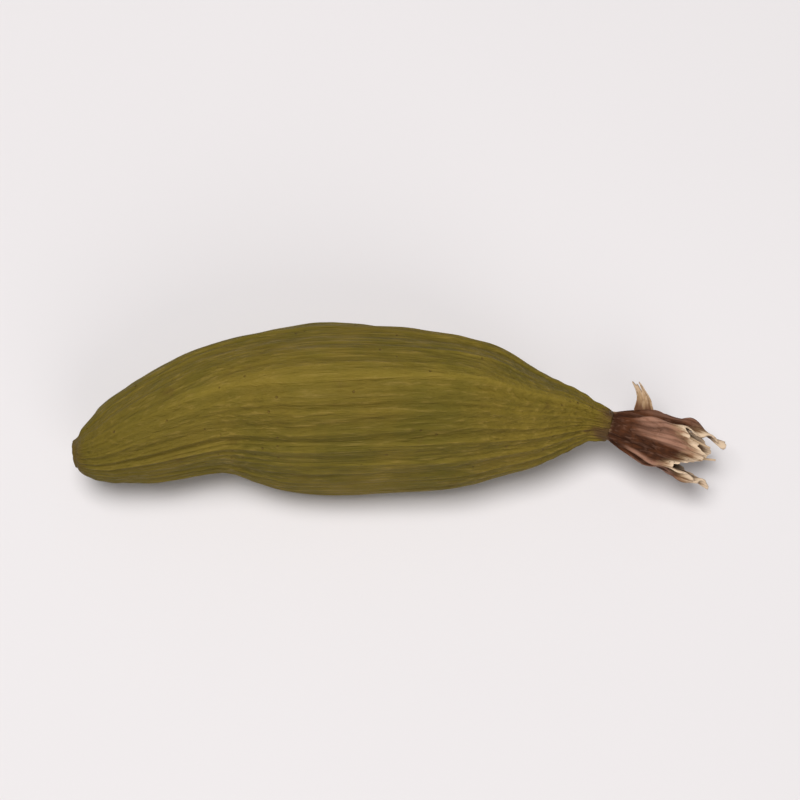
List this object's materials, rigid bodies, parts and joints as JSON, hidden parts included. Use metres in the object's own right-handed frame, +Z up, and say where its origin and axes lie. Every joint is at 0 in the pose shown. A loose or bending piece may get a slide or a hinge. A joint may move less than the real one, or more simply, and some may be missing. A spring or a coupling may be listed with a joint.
{
  "type": "green cardamom pod",
  "caption": "Dried green cardamom pod: a closed three-sided ribbed seed husk with a blunt stalk scar, a beak and a withered brown calyx, lying on its side.",
  "frame": {"origin": "middle of the small flat spot under the husk that the pod rests on", "axes": "+X along the pod from the stalk scar to the calyx, +Z up, away from the surface it lies on"},
  "size_m": [0.0194, 0.0052, 0.0049],
  "materials": {
    "husk": "dry fibrous plant husk, matt with a faint sheen on the ribs",
    "calyx": "withered papery plant tissue, matt"
  },
  "bodies": {
    "root": {"pod_husk": "husk", "dried_calyx": "calyx"}
  },
  "joints": []
}
